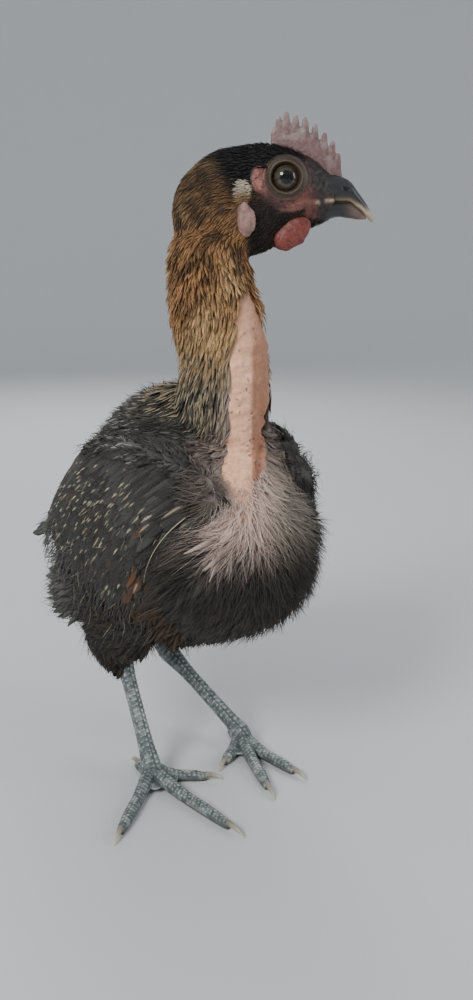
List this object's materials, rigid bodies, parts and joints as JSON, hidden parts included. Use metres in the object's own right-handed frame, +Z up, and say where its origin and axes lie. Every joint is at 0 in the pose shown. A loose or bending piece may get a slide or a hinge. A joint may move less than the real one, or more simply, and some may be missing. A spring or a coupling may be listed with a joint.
{
  "type": "young ayam ketawa fowl",
  "caption": "Still life-size model of a young laughing fowl, standing with its head turned to its left, with a bare strip down the front of its neck.",
  "frame": {"origin": "middle of the bird's box at floor level", "axes": "+Z up, -Y the way the bird's body faces, +X its left side"},
  "size_m": [0.1422, 0.2273, 0.3494],
  "materials": {
    "feathers": "matte",
    "hackle": "matte",
    "face_skin": "satin",
    "comb_skin": "satin",
    "lobe_skin": "matte",
    "bill_horn": "satin",
    "claw_horn": "satin",
    "eyes": "gloss",
    "leg_scales": "satin"
  },
  "bodies": {
    "root": {"bill_lower": "bill_horn", "bill_upper": "bill_horn", "claw_hallux_left": "claw_horn", "claw_hallux_right": "claw_horn", "claw_inner_left": "claw_horn", "claw_inner_right": "claw_horn", "claw_middle_left": "claw_horn", "claw_middle_right": "claw_horn", "claw_outer_left": "claw_horn", "claw_outer_right": "claw_horn", "comb": "comb_skin", "earlobe_left": "lobe_skin", "earlobe_right": "lobe_skin", "eye_left": "eyes", "eye_right": "eyes", "head": "face_skin", "neck": "hackle", "shank_left": "leg_scales", "shank_right": "leg_scales", "tail": "feathers", "thigh_left": "feathers", "thigh_right": "feathers", "toe_hallux_left": "leg_scales", "toe_hallux_right": "leg_scales", "toe_inner_left": "leg_scales", "toe_inner_right": "leg_scales", "toe_middle_left": "leg_scales", "toe_middle_right": "leg_scales", "toe_outer_left": "leg_scales", "toe_outer_right": "leg_scales", "torso": "feathers", "wattle_left": "face_skin", "wattle_right": "face_skin", "wing_left": "feathers", "wing_right": "feathers"}
  },
  "joints": []
}
